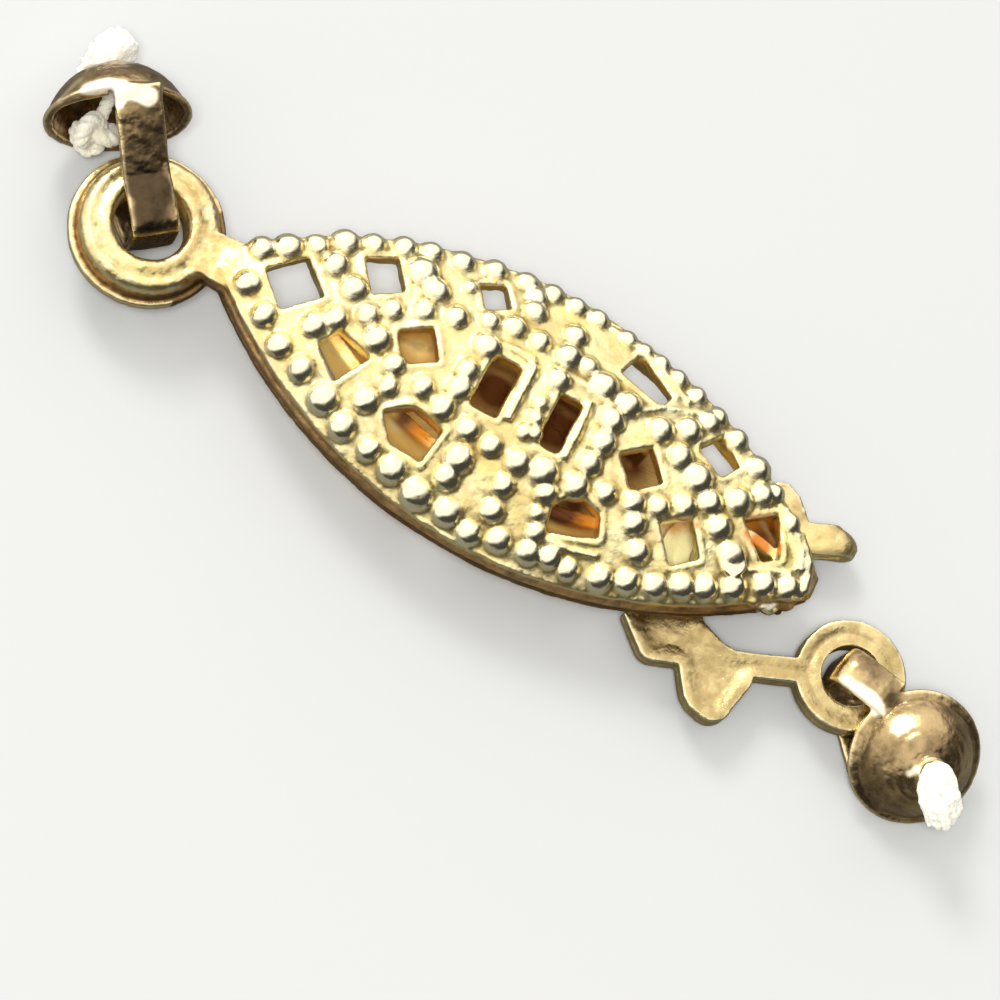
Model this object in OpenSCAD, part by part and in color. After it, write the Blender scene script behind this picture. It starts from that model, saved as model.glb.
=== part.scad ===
/* [Top plate] */
// Half width of the marquise plate
plate_half_w = 3.6; // [3.3:0.05:4]
// Half length of the marquise outline, to where its two arcs cross
plate_half_l = 8.7; // [8.4:0.1:9.2]
// Half length at which both tips of the outline are rounded off
plate_tip_l = 8.45; // [8.2:0.05:8.6]
// Rise of the dome above the rim
dome_h = 0.95; // [0.7:0.05:1.2]
// Metal thickness of the pierced plate
plate_t = 0.45; // [0.3:0.05:0.6]
// Height of the rim's lower edge above the surface that the clasp lies on
rim_z = 1.4; // [1.3:0.05:1.6]
// Height of the rim
rim_h = 0.7; // [0.6:0.05:1]
// Wall thickness of the rim
rim_t = 0.4; // [0.3:0.05:0.5]
// How far the rim's lower flange stands out
flange_out = 0.08; // [0.04:0.01:0.16]
// Height of the lower flange
flange_h = 0.28; // [0.2:0.02:0.36]
// Height and depth of the groove between flange and rim
groove = 0.1; // [0.06:0.02:0.14]

/* [Eye at the left end] */
// Outer diameter of the eye's flange
eye_d = 4; // [3.6:0.1:4.3]
// Diameter of the eye's hole
eye_hole_d = 1.85; // [1.6:0.05:2]
// Height of the eye's underside above the surface
eye_z = 1.25; // [1.1:0.05:1.4]
// Radius of the rounded top of the eye
eye_bead_r = 0.42; // [0.3:0.02:0.5]
// Width of the neck between eye and plate
neck_w = 1.1; // [0.8:0.1:1.5]

/* [Pin and rib inside] */
// Diameter of the pin that the hook is caught on
pin_d = 0.7; // [0.5:0.1:0.9]
// Height of the pin's lower end above the surface
pin_z = 0.4; // [0.2:0.1:0.5]
// Thickness of the guide rib
rib_t = 0.25; // [0.2:0.05:0.35]

/* [Back tray] */
// Half width of the tray
tray_half_w = 1.95; // [1.6:0.05:2.2]
// Half length of the tray's outline
tray_half_l = 6; // [5.5:0.1:6.4]
// Metal thickness of the tray
tray_t = 0.3; // [0.2:0.05:0.4]
// Place of the tray's open right end, from the middle of the plate
tray_end_x = 3.3; // [2.6:0.1:3.5]
// Height of the tray's raised left end
ramp_h = 1.5; // [1:0.1:1.7]
// Length of the slope at the left end
ramp_l = 3; // [2:0.1:3.5]
// Gap between the tray's edge and the plate that it is crimped under
tray_gap = 0.05; // [0.03:0.01:0.1]

/* [Hook] */
// Thickness of the hook, two leaves pressed together
hook_t = 0.6; // [0.5:0.02:0.66]
// Height of the hook's underside above the surface
hook_z = 0.54; // [0.48:0.02:0.6]
// Outer diameter of the hook's ring
hook_ring_d = 2.9; // [2.4:0.1:3.2]
// Diameter of the hole in the hook's ring
hook_hole_d = 1.56; // [1.5:0.02:1.7]
// Width of the hook's neck
hook_neck_w = 0.65; // [0.5:0.05:0.8]
// Width of the strip that bends round the pin
hook_strip_w = 0.8; // [0.6:0.05:0.9]
// Gap between the two leaves of the folded tip
fold_gap = 0.14; // [0.1:0.02:0.2]
// Length over which the tip's leaves stand apart
fold_l = 1.7; // [1:0.1:2]

/* [Thread cups] */
// Rim diameter of the left cup
cup_left_d = 3.75; // [3.4:0.05:4]
// Rim diameter of the right cup
cup_right_d = 3.55; // [3.3:0.05:3.8]
// Depth of a cup as a share of its rim diameter
cup_depth_share = 0.38; // [0.34:0.01:0.46]
// Metal thickness of a cup
cup_t = 0.2; // [0.15:0.01:0.25]
// Diameter of the thread hole in a cup's apex
cup_hole_d = 0.6; // [0.5:0.05:0.8]
// Width of the left cup's strap
strap_left_w = 1.2; // [0.9:0.05:1.25]
// Width of the right cup's strap
strap_right_w = 1.05; // [0.8:0.05:1.1]
// Metal thickness of the straps
strap_t = 0.22; // [0.16:0.02:0.26]

/* [Threads] */
// Radius of the thread
thread_r = 0.2; // [0.12:0.02:0.26]
// Radius of the knots
knot_r = 0.6; // [0.45:0.05:0.62]

/* [Hidden] */
$fn = 96;

gilt = "#d9b866";
worn_gilt = "#b8995a";
tarnish = "#7d6440";
cream = "#ece4c8";

// Middle of the whole clasp's box, from the middle of the plate
box_mid = [0.24, 0.05];

// The plate's outline is two arcs, and its dome is the top of a barrel lying along Y
plate_arc_r = (pow(plate_half_l, 2) + pow(plate_half_w, 2)) / (2 * plate_half_w);
rim_top_z = rim_z + rim_h;
crown_z = rim_top_z + dome_h;
barrel_across_r = (pow(plate_half_w, 2) + pow(dome_h, 2)) / (2 * dome_h);
barrel_along_r = (pow(plate_half_l, 2) + pow(dome_h, 2)) / (2 * dome_h);
outline_margin = 2;

// Openings of the plate: x, y, length, width at the left end, width at the right end, turn, and
// how far a fifth corner stands out of the left end
OPENINGS = [
    [-6.60,  0.21, 1.12, 1.10, 1.10,  45, 0   ],
    [-4.70,  1.51, 0.86, 1.00, 0.95,  33, 0   ],
    [-2.00,  2.44, 0.68, 0.68, 0.68,  33, 0   ],
    [-4.79, -0.89, 0.98, 0.70, 1.10, -29, 0   ],
    [-3.18,  0.19, 0.90, 0.84, 0.90,  33, 0   ],
    [-2.17, -1.83, 0.87, 1.08, 0.94,  -8, 0.60],
    [-1.02,  0.22, 1.50, 0.76, 0.74,  89, 0   ],
    [ 0.88,  0.16, 1.46, 0.68, 0.72,  90, 0   ],
    [ 2.40,  2.44, 1.30, 0.85, 0.42, -20, 0   ],
    [ 3.16,  0.21, 0.90, 0.96, 0.94,  43, 0   ],
    [ 4.86,  1.64, 0.88, 0.84, 0.62, -33, 0   ],
    [ 2.28, -1.83, 0.62, 1.20, 1.32, -69, 0.40],
    [ 4.85, -0.88, 1.08, 0.86, 0.80, -49, 0   ],
    [ 6.80,  0.36, 1.10, 0.98, 0.52, -50, 0   ]
];

// Outline of the tongue: the tray's floor runs on under the hook, towards the hook's tip
TONGUE = [
    [2.2, -1.3], [3.3, -1.3], [5.6, -1.05], [7.05, -0.85], [7.75, -0.1], [7.75, 0.75],
    [7.3, 1.45], [6.6, 1.65], [4.3, 1.75], [3.3, 1.85], [2.2, 1.7]
];

eye_at = [-10.41, -0.1];
eye_round_z = rim_top_z + 0.17 - eye_bead_r;
neck_top_z = rim_top_z + 0.1;
neck_z = 1.5;
pin_at = [6.3, -0.7];
rib_at = [5.4, 0.39];
rib_turn = -9.7;
rib_l = 2.9;
rib_z = 1.35;

// Hook, in plan, as it lies when the clasp rests half open
hook_ring_at = [10.46, -1.26];
hook_neck_end = [7.7, -2.44];
hook_tip_turn = 25;
hook_tip_at = [8.85, 1.88];
hook_bend_at = [4.85, 0.01];
hook_foot_at = [5.6, -2.3];
hook_bend_r = 0.85;
hook_top_z = hook_z + hook_t;
leaf_t = hook_t / 2;
FISH_TAIL = [
    [8.2, -2.17], [7.2, -2.14], [6.5, -1.87], [6, -1.1], [5, -1.1], [4.6, -2.72],
    [5.35, -3.37], [5.75, -3.47], [6.42, -3.2], [6.64, -3.54], [6.86, -3.86], [7.12, -4.04],
    [7.4, -4.1], [8.1, -3.67], [8.3, -2.77]
];
BARB = [[6.2, 1.1], [6.6, 2.35], [6.9, 2.46], [7.3, 2.28], [7.8, 1.8], [7.9, 1.4]];
lobe_at = [7.6, -3.62];
lobe_r = 0.52;
corner_at = [5.62, -3.08];
corner_r = 0.4;

// A cup's row holds its rim's middle, the azimuth and elevation of its apex, its rim diameter, and
// how far round the rim from the top its strap starts
CUP_LEFT = [[-12.37, 1.93, 1.88], 120, -8, cup_left_d, -6];
CUP_RIGHT = [[12.8, -2.27, 0.95], -55, 60, cup_right_d, -20];
// Clearance between a strap and the eye that it is closed round, and how far it arches over it
strap_clear = 0.1;
strap_arch = 0.15;
strap_drop = 0.3;
strap_bend_r = 0.3;
// Where the straps' tails end under the mouths of their cups
tail_left_to = [-11.75, 1];
tail_right_to = [12.1, -3.05];
// Knots, each in the frame of its cup, and where the frayed ends reach to
knot_left_at = [0.75, 0.5, -0.05];
knot_right_at = [0.1, 0.1, 0.42];
tuft_left_to = [-13.54, 3.64, 1.38];
tuft_right_to = [14.17, -3.73, 1.61];
tuft_left_r = 0.72;
tuft_right_r = 0.5;
bend_steps = 6;

function unit(v) = v / norm(v);
function left_of(v) = [-v[1], v[0]];
function heading(v) = atan2(v[1], v[0]);
function turn_at(p, i) =
    let (a = unit(p[i] - p[i - 1]), b = unit(p[i + 1] - p[i]))
    atan2(a[0] * b[1] - a[1] * b[0], a * b);

// One edge of a bent strip: the path's corners are rounded with radius r, and the edge runs at
// offset o to the path's left
function strip_edge(p, r, o) =
    let (last = len(p) - 1)
    [
        p[0] + o * left_of(unit(p[1] - p[0])),
        for (i = [1:last - 1])
            let (
                a = unit(p[i] - p[i - 1]),
                g = turn_at(p, i),
                s = sign(g),
                c = p[i] - a * r * tan(abs(g) / 2) + left_of(a) * s * r
            )
            for (k = [0:bend_steps])
                let (w = heading(a) - s * 90 + g * k / bend_steps)
                c + (r - s * o) * [cos(w), sin(w)],
        p[last] + o * left_of(unit(p[last] - p[last - 1]))
    ];
function reversed(p) = [for (i = [len(p) - 1:-1:0]) p[i]];

module bent_strip(p, r, t) {
    polygon(concat(strip_edge(p, r, t / 2), reversed(strip_edge(p, r, -t / 2))));
}

// A point given in a cup's own frame: its rim lies in XY, its apex is up Z, and -X is uppermost
function cup_point(cup, p) =
    let (b = 90 - cup[2], x = p[0] * cos(b) + p[2] * sin(b), z = p[2] * cos(b) - p[0] * sin(b))
    cup[0] + [x * cos(cup[1]) - p[1] * sin(cup[1]), x * sin(cup[1]) + p[1] * cos(cup[1]), z];
function cup_depth(cup) = cup[3] * cup_depth_share;
function cup_sphere_r(cup) = (pow(cup[3] / 2, 2) + pow(cup_depth(cup), 2)) / (2 * cup_depth(cup));
function strap_start(cup) =
    let (r = cup[3] / 2 - strap_t / 2) cup_point(cup, [-r * cos(cup[4]), r * sin(cup[4]), 0.1]);

module placed() {
    translate([-box_mid[0], -box_mid[1], 0]) children();
}

module arcs_outline(half_w, arc_r, inset) {
    intersection() {
        translate([0, half_w - arc_r]) circle(r = arc_r - inset, $fn = 180);
        translate([0, arc_r - half_w]) circle(r = arc_r - inset, $fn = 180);
    }
}

module plate_outline(inset) {
    intersection() {
        arcs_outline(plate_half_w, plate_arc_r, inset);
        circle(r = plate_tip_l - inset, $fn = 180);
    }
}

module barrel(inset) {
    translate([0, 0, crown_z - barrel_along_r]) rotate([90, 0, 0])
        rotate_extrude($fn = 180)
            translate([barrel_along_r - barrel_across_r, 0]) circle(r = barrel_across_r - inset, $fn = 120);
}

module opening(o) {
    translate([o[0], o[1]]) rotate(o[5])
        polygon([
            [-o[2] / 2, -o[3] / 2], [o[2] / 2, -o[4] / 2], [o[2] / 2, o[4] / 2],
            [-o[2] / 2, o[3] / 2], [-o[2] / 2 - o[6], 0]
        ]);
}

module hollow() {
    intersection() {
        translate([0, 0, rim_z - 1]) linear_extrude(crown_z) plate_outline(rim_t);
        barrel(plate_t);
    }
}

module plate_and_rim() {
    difference() {
        union() {
            intersection() {
                translate([0, 0, rim_z]) linear_extrude(crown_z) plate_outline(0);
                barrel(0);
            }
            translate([0, 0, rim_z]) linear_extrude(flange_h) plate_outline(-flange_out);
        }
        hollow();
        translate([0, 0, rim_z + flange_h]) linear_extrude(groove) difference() {
            plate_outline(-outline_margin);
            plate_outline(groove);
        }
        translate([0, 0, rim_z]) linear_extrude(crown_z) intersection() {
            union() for (o = OPENINGS) opening(o);
            plate_outline(rim_t);
        }
    }
}

module eye() {
    mid_r = (eye_d / 2 - flange_out + eye_hole_d / 2) / 2;
    translate([eye_at[0], eye_at[1], 0]) rotate_extrude() {
        translate([eye_hole_d / 2, eye_z]) square([(eye_d - eye_hole_d) / 2, flange_h]);
        translate([mid_r, eye_round_z]) circle(r = eye_bead_r, $fn = 48);
        translate([mid_r - eye_bead_r, eye_z]) square([2 * eye_bead_r, eye_round_z - eye_z]);
    }
}

module eye_neck() {
    toward_plate = -eye_at;
    translate([eye_at[0], eye_at[1], neck_z]) rotate(heading(toward_plate))
        translate([eye_hole_d / 2 + 0.2, -neck_w / 2, 0]) cube([1.9, neck_w, neck_top_z - neck_z]);
}

module pin_and_rib() {
    intersection() {
        union() {
            translate([pin_at[0], pin_at[1], pin_z]) cylinder(h = crown_z, d = pin_d);
            translate([rib_at[0], rib_at[1], rib_z]) rotate(rib_turn) cube([rib_l, rib_t, crown_z]);
        }
        barrel(plate_t / 2);
        translate([0, 0, pin_z]) linear_extrude(crown_z) plate_outline(rim_t / 2);
    }
}

module housing() {
    placed() color(gilt) union() {
        plate_and_rim();
        eye();
        eye_neck();
        pin_and_rib();
    }
}

// The tray's outer form, or with an inset the hollow inside it
module tray_form(inset) {
    arc_r = (pow(tray_half_l, 2) + pow(tray_half_w, 2)) / (2 * tray_half_w);
    difference() {
        translate([0, 0, inset]) linear_extrude(crown_z) arcs_outline(tray_half_w, arc_r, inset);
        translate([ramp_l - tray_half_l, 0, inset]) rotate([0, atan2(ramp_h, ramp_l), 0])
            translate([-2 * tray_half_l, -tray_half_l, -tray_half_l])
                cube([4 * tray_half_l, 2 * tray_half_l, tray_half_l]);
    }
}

module back_tray() {
    placed() color(tarnish) union() {
        difference() {
            intersection() {
                tray_form(0);
                barrel(plate_t + tray_gap);
            }
            tray_form(tray_t);
            translate([tray_end_x, -tray_half_l, -1]) cube([tray_half_l, 2 * tray_half_l, crown_z + 1]);
        }
        linear_extrude(tray_t) polygon(TONGUE);
    }
}

module bar_between(a, b, w) {
    translate(a) rotate(heading(b - a)) translate([0, -w / 2]) square([norm(b - a), w]);
}

module hook_plan() {
    fold_root = hook_tip_at - (fold_l - fold_gap) * [cos(hook_tip_turn), sin(hook_tip_turn)];
    difference() {
        union() {
            translate(hook_ring_at) circle(d = hook_ring_d);
            bar_between(hook_neck_end, hook_ring_at, hook_neck_w);
            polygon(FISH_TAIL);
            translate(lobe_at) circle(r = lobe_r);
            translate(corner_at) circle(r = corner_r);
            bent_strip([fold_root, hook_bend_at, hook_foot_at], hook_bend_r, hook_strip_w);
            polygon(BARB);
        }
        translate(hook_ring_at) circle(d = hook_hole_d);
    }
}

// At the tip the two leaves stand apart, joined by their fold at the end
module folded_tip() {
    fold_r = fold_gap / 2 + leaf_t;
    fold_z = hook_top_z - fold_r;
    translate([hook_tip_at[0], hook_tip_at[1], fold_z]) rotate(hook_tip_turn)
        translate([0, hook_strip_w / 2, 0]) rotate([90, 0, 0]) linear_extrude(hook_strip_w)
            difference() {
                union() {
                    circle(r = fold_r);
                    translate([-fold_l, -fold_r]) square([fold_l, 2 * fold_r]);
                }
                circle(r = fold_gap / 2);
                translate([-fold_l - 1, -fold_gap / 2]) square([fold_l + 1, fold_gap]);
            }
}

module hook() {
    placed() color(worn_gilt) union() {
        translate([0, 0, hook_z]) linear_extrude(hook_t) hook_plan();
        folded_tip();
    }
}

module cup_frame(cup) {
    translate(cup[0]) rotate([0, 90 - cup[2], cup[1]]) children();
}

module cup_shell(cup) {
    r = cup_sphere_r(cup);
    rotate_extrude() intersection() {
        translate([0, cup_depth(cup) - r]) difference() {
            circle(r = r);
            circle(r = r - cup_t);
        }
        translate([cup_hole_d / 2, 0]) square([cup[3], cup[3]]);
    }
}

// The strap leaves the top of the cup's rim and passes over the eye and down its hole, and its tail
// runs back under the eye towards the cup
module strap(cup, eye_xy, eye_low, eye_top, width, tail_to) {
    start = strap_start(cup);
    toward = [eye_xy[0] - start[0], eye_xy[1] - start[1]];
    reach = norm(toward) + strap_drop;
    over = eye_top + strap_clear + strap_t / 2;
    under = eye_low - strap_clear - strap_t / 2;
    path = [
        [0, start[2]], [0.6 * reach, over + strap_arch], [reach, over], [reach, under],
        [reach - 2 * strap_bend_r, under]
    ];
    translate([start[0], start[1], 0]) rotate(heading(toward))
        translate([0, width / 2, 0]) rotate([90, 0, 0])
            linear_extrude(width) bent_strip(path, strap_bend_r, strap_t);
    translate([0, 0, under - strap_t / 2]) linear_extrude(strap_t)
        bar_between(eye_xy, tail_to, width);
}

module knot_cup_left() {
    placed() color(tarnish) union() {
        cup_frame(CUP_LEFT) cup_shell(CUP_LEFT);
        strap(CUP_LEFT, eye_at, eye_z, eye_round_z + eye_bead_r, strap_left_w, tail_left_to);
    }
}

module knot_cup_right() {
    placed() color(tarnish) union() {
        cup_frame(CUP_RIGHT) cup_shell(CUP_RIGHT);
        strap(CUP_RIGHT, hook_ring_at, hook_z, hook_top_z + strap_arch, strap_right_w, tail_right_to);
    }
}

module strand(a, b, ra, rb) {
    d = b - a;
    translate(a) rotate([0, acos(d[2] / norm(d)), heading(d)]) cylinder(h = norm(d), r1 = ra, r2 = rb);
}

// The knot inside the cup, the strand out through the apex hole, and its frayed end
module thread(cup, knot, tuft_to, tuft_r) {
    apex = cup_depth(cup);
    knot_at = cup_point(cup, knot);
    within = cup_point(cup, [0, 0, apex - 2.2 * cup_t]);
    out = cup_point(cup, [0, 0, apex + 1.6 * cup_t]);
    translate(knot_at) sphere(r = knot_r);
    strand(knot_at, within, 0.9 * thread_r, 0.9 * thread_r);
    translate(within) sphere(r = 1.05 * thread_r);
    strand(within, out, thread_r, thread_r);
    translate(out) sphere(r = 1.25 * thread_r);
    strand(out, tuft_to, 1.1 * thread_r, tuft_r);
}

module thread_left() {
    placed() color(cream) thread(CUP_LEFT, knot_left_at, tuft_left_to, tuft_left_r);
}

module thread_right() {
    placed() color(cream) thread(CUP_RIGHT, knot_right_at, tuft_right_to, tuft_right_r);
}

housing();
back_tray();
hook();
knot_cup_left();
knot_cup_right();
thread_left();
thread_right();
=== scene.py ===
# %% [markdown]
# # A fishhook clasp
# A small gilt necklace clasp lies on a pale floor: a pierced and beaded marquise plate, a flat hook
# caught under it, and a thread cup with a knotted thread at each end. The measured model is loaded
# first and stays where it is. Every visible piece is then made at its place, in millimetres, with
# the origin at the middle of the plate, and moved into the model's own frame at the end.

# %% Load the measured model
import math

import bmesh
import bpy
import numpy as np
from mathutils import Matrix, Vector
from mathutils.kdtree import KDTree


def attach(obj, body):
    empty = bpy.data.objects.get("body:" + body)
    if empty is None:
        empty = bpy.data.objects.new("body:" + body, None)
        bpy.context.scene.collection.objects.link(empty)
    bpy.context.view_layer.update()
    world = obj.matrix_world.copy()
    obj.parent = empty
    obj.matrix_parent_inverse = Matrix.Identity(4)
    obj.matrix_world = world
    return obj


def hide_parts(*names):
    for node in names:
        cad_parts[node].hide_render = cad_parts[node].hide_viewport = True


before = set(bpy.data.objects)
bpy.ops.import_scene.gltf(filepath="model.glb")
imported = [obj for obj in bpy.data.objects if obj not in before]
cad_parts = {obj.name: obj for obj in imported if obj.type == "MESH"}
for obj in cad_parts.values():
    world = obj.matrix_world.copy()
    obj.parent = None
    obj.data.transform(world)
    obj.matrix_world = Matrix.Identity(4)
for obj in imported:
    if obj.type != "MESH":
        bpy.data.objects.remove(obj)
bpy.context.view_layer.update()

# %% [markdown]
# ## How the picture was taken
# The clasp was photographed from above, 20 degrees off the plumb line, with the picture turned so
# that the plate runs from the upper left to the lower right. The camera's three directions say all
# of this: what is right, up and towards the lens. A long lens far away keeps the lines parallel, as
# they are in the picture, where one millimetre is 40 pixels.

# %% Camera
MM = 0.001
MIDDLE = Vector((0.24, 0.05, 0))
RIGHT = Vector((0.871, 0.431, 0.234)).normalized()
UP = Vector((-0.482, 0.839, 0.249)).normalized()
BACK = RIGHT.cross(UP).normalized()
PIXELS_PER_MM, PICTURE = 40, 1000
ORIGIN_AT = (500.1, 443.9)
AIM_Z, FAR, SENSOR = 1.0, 150.0, 36


def place(name, data):
    obj = bpy.data.objects.new(name, data)
    bpy.context.scene.collection.objects.link(obj)
    return obj


def from_origin(px, py):
    """How many mm right of and above the plate's middle a pixel of the picture is."""
    return (px - ORIGIN_AT[0]) / PIXELS_PER_MM, (ORIGIN_AT[1] - py) / PIXELS_PER_MM


def in_view_at(px, py, z):
    """The point on the level z that shows at a pixel of the picture."""
    across, up = from_origin(px, py)
    p = RIGHT * across + UP * up
    return p + BACK * ((z - p.z) / BACK.z)


lens = bpy.data.cameras.new("camera")
lens.sensor_width = SENSOR
lens.lens = SENSOR * FAR / (PICTURE / PIXELS_PER_MM)
lens.clip_start, lens.clip_end = 0.01, 10
camera = place("camera", lens)
stands_at = (in_view_at(PICTURE / 2, PICTURE / 2, AIM_Z) + BACK * FAR - MIDDLE) * MM
camera.matrix_world = Matrix.Translation(stands_at) @ Matrix((RIGHT, UP, BACK)).transposed().to_4x4()
bpy.context.scene.camera = camera
print("camera at", [round(c, 4) for c in camera.location], "lens", round(lens.lens, 1))

# %% [markdown]
# ## Small tools
# Remeshing and merging work badly on things a thousandth of a unit thick, so the pieces are
# built with one unit to the millimetre and scaled down when they are finished. One helper joins
# meshes, one runs a modifier for good, and one melts overlapping parts into a single casting with
# soft inner corners, the way plated castings look.

# %% Mesh helpers
def from_lists(name, verts, faces=(), edges=()):
    mesh = bpy.data.meshes.new(name)
    mesh.from_pydata([tuple(v) for v in verts], [tuple(e) for e in edges], [tuple(f) for f in faces])
    return place(name, mesh)


def from_node(node):
    """A merged copy of a measured piece, in mm from the plate's middle."""
    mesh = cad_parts[node].data.copy()
    mesh.materials.clear()
    mesh.transform(Matrix.Translation(MIDDLE) @ Matrix.Scale(1 / MM, 4))
    bm = bmesh.new()
    bm.from_mesh(mesh)
    bmesh.ops.remove_doubles(bm, verts=bm.verts, dist=1e-4)
    bm.to_mesh(mesh)
    bm.free()
    return place(node + "_copy", mesh)


def joined(name, parts):
    bm = bmesh.new()
    for part in parts:
        bm.from_mesh(part.data)
        bpy.data.objects.remove(part)
    mesh = bpy.data.meshes.new(name)
    bm.to_mesh(mesh)
    bm.free()
    return place(name, mesh)


def settled(obj):
    """Runs the object's modifiers for good."""
    graph = bpy.context.evaluated_depsgraph_get()
    mesh = bpy.data.meshes.new_from_object(obj.evaluated_get(graph), depsgraph=graph)
    obj.modifiers.clear()
    obj.data = mesh


def modified(obj, kind, **settings):
    mod = obj.modifiers.new(kind, kind)
    for key, value in settings.items():
        setattr(mod, key, value)
    settled(obj)


def thinned(obj, most):
    """Keeps about so many triangles."""
    modified(obj, "DECIMATE", ratio=most / (2 * len(obj.data.polygons)))


def melted(obj, voxel, rounds):
    """One closed skin round everything in the object, its corners eased over a few rounds."""
    modified(obj, "REMESH", mode="VOXEL", voxel_size=voxel, adaptivity=0.0)
    modified(obj, "SMOOTH", iterations=rounds, factor=0.5)
    return obj


def points_of(obj, field="co"):
    """Each vertex's place, or its normal."""
    values = np.zeros(len(obj.data.vertices) * 3)
    obj.data.vertices.foreach_get(field, values)
    return values.reshape(-1, 3)


def set_points(obj, co):
    obj.data.vertices.foreach_set("co", co.ravel())
    obj.data.update()


def unit(values):
    """The values, kept between nought and one."""
    return np.clip(values, 0, 1)


def polar(radius, degrees):
    return radius * math.cos(math.radians(degrees)), radius * math.sin(math.radians(degrees))


def along_and_aside(co, start, way):
    """How far each point lies from a start, along a direction and to its left."""
    x, y = co[:, 0] - start[0], co[:, 1] - start[1]
    return x * way[0] + y * way[1], y * way[0] - x * way[1]


def note(obj, name, values, kind="FLOAT"):
    """Writes a number, or a vector, to each vertex for the materials and the trees to read."""
    layer = obj.data.attributes.new(name, kind, "POINT")
    layer.data.foreach_set("value" if kind == "FLOAT" else "vector", np.asarray(values, np.float32).ravel())


# %% [markdown]
# Plating wears off edges, and the hollows are darkened with dirt and painted shade, so each casting
# is told where it bulges and where it dips: every vertex compares its own tangent plane with its
# neighbours, and a little averaging makes that the shape of a bead instead of the shape of a facet.

# %% Where a surface bulges and dips
def note_form(obj, rounds=3):
    co, normal = points_of(obj), points_of(obj, "normal")
    ends = np.zeros(len(obj.data.edges) * 2, np.int64)
    obj.data.edges.foreach_get("vertices", ends)
    a, b = ends.reshape(-1, 2).T
    span = co[b] - co[a]
    length = np.maximum(np.linalg.norm(span, axis=1), 1e-9)
    lean = np.zeros(len(co))
    np.add.at(lean, a, (span * normal[a]).sum(1) / length)
    np.add.at(lean, b, (-span * normal[b]).sum(1) / length)
    count = np.maximum(np.bincount(a, minlength=len(co)) + np.bincount(b, minlength=len(co)), 1)
    lean /= count
    for _ in range(rounds):
        spread = np.zeros(len(co))
        np.add.at(spread, a, lean[b])
        np.add.at(spread, b, lean[a])
        lean = 0.4 * lean + 0.6 * spread / count
    lean /= max(np.percentile(np.abs(lean), 97), 1e-6)
    note(obj, "hollow", np.clip(lean, -1, 1))


def finish_piece(obj, name, material, body, node):
    """Moves a piece from mm into the model's frame, dresses it and hands it to its body."""
    mesh = obj.data
    mesh.transform(Matrix.Scale(MM, 4) @ Matrix.Translation(-MIDDLE))
    obj.name = mesh.name = name
    mesh.materials.clear()
    mesh.materials.append(material)
    mesh.polygons.foreach_set("use_smooth", [True] * len(mesh.polygons))
    mesh.polygons.foreach_set("material_index", [0] * len(mesh.polygons))
    mesh.update()
    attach(obj, body)
    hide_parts(node)
    print(name, "has", sum(len(p.vertices) - 2 for p in mesh.polygons), "triangles")


# %% [markdown]
# ## Small tools for node trees
# Geometry trees and shader groups are both built in code. One helper makes a tree with named
# sockets, and one adds a node, sets it and links it, so that each tree reads from top to bottom.
# A socket knows the tree it is in, so the helpers that take sockets need not be told.

# %% Node helpers
def new_tree(kind, name, outputs, **inputs):
    """A tree with named sockets, whose kinds are told by their names or their first values."""
    tree = bpy.data.node_groups.new(name, kind + "NodeTree")
    for way, sockets in (("INPUT", inputs), ("OUTPUT", dict.fromkeys(outputs, 0.0))):
        for label, value in sockets.items():
            named = label in ("Geometry", "Material", "Color")
            sort = label if named else type(value).__name__.capitalize()
            socket = tree.interface.new_socket(label, in_out=way, socket_type="NodeSocket" + sort)
            if not named:
                socket.default_value = value
    return tree, tree.nodes.new("NodeGroupInput").outputs, tree.nodes.new("NodeGroupOutput").inputs


def is_socket(value):
    return isinstance(value, bpy.types.NodeSocket)


def feed(tree, sockets, values):
    """Links each socket to what feeds it, or sets it. In a name, _ stands for a space."""
    for key, value in values.items():
        socket = sockets[key.replace("_", " ") if isinstance(key, str) else key]
        if is_socket(value):
            tree.links.new(value, socket)
        else:
            socket.default_value = value


def add(tree, kind, inputs=(), **named):
    """Adds a node and gives its outputs. Names with a capital are sockets, the others settings."""
    node, feeds = tree.nodes.new(kind), dict(inputs)
    for key, value in named.items():
        if key[0].isupper():
            feeds[key] = value
        else:
            setattr(node, key, value)
    feed(tree, node.inputs, feeds)
    return node.outputs


def math_node(operation, *values):
    tree = next(value.id_data for value in values if is_socket(value))
    return add(tree, "ShaderNodeMath", dict(enumerate(values)), operation=operation)[0]


def plus(a, b):
    return math_node("ADD", a, b)


def minus(a, b):
    return math_node("SUBTRACT", a, b)


def times(a, b):
    return math_node("MULTIPLY", a, b)


def vector_node(operation, first, second):
    values = {0: first, "Scale" if operation == "SCALE" else 1: second}
    return add(first.id_data, "ShaderNodeVectorMath", values, operation=operation)[0]


def ramp(value, low, high, first=0.0, second=1.0, kind="LINEAR"):
    """Goes from first to second while the value goes from low to high."""
    return add(
        value.id_data, "ShaderNodeMapRange", interpolation_type=kind,
        Value=value, From_Min=low, From_Max=high, To_Min=first, To_Max=second,
    )[0]


def noise(at, scale, detail=2.0, roughness=0.5, **more):
    return add(
        at.id_data, "ShaderNodeTexNoise",
        Vector=at, Scale=scale, Detail=detail, Roughness=roughness, **more,
    )[0]


# %% Helpers for geometry trees
def geometry_tree(name, **sizes):
    return new_tree("Geometry", name, ["Geometry"], Geometry=None, **sizes, Material=None)


def end_tree(geometry, given, out):
    """Makes instances real, dresses them and puts them out."""
    tree = geometry.id_data
    solid = add(tree, "GeometryNodeRealizeInstances", Geometry=geometry)[0]
    dressed = add(tree, "GeometryNodeSetMaterial", Geometry=solid, Material=given["Material"])[0]
    tree.links.new(dressed, out[0])
    print(tree.name, "tree has", len(tree.nodes), "nodes")


def position(tree):
    return add(tree, "GeometryNodeInputPosition")[0]


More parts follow.
